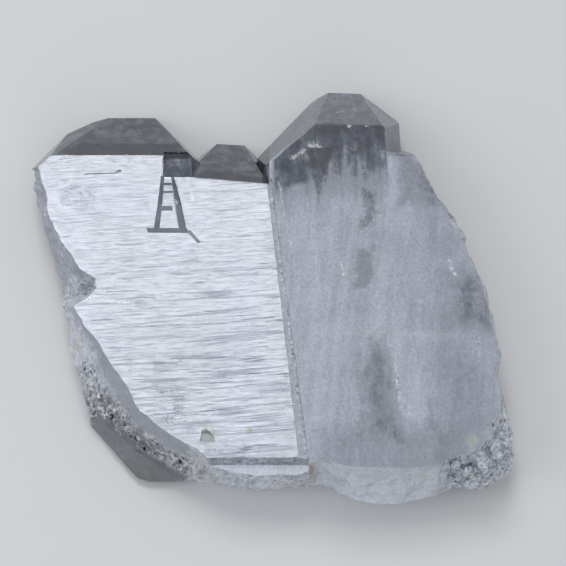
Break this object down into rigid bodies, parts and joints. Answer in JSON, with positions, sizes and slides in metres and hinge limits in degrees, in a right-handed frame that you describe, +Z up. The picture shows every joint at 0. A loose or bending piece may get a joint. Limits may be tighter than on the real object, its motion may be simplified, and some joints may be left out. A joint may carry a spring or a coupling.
{
  "type": "faden quartz cluster",
  "caption": "Flat cluster of clear to milky quartz crystals grown side by side, with a striated bright face, stepped tips and broken flanks, lying on its back.",
  "frame": {"origin": "on the rest plane, under the middle of the specimen's bounding box", "axes": "+Y along the crystals' long axes towards their tips, +Z up out of the broad striated face, +X across the plate towards the milky crystal"},
  "size_m": [0.0522, 0.0506, 0.0096],
  "materials": {
    "quartz": "clear at the tips, milky in the body, glassy faces with fine growth striations, rough on the broken flanks"
  },
  "bodies": {
    "root": {"quartz_cluster": "quartz"}
  },
  "joints": []
}
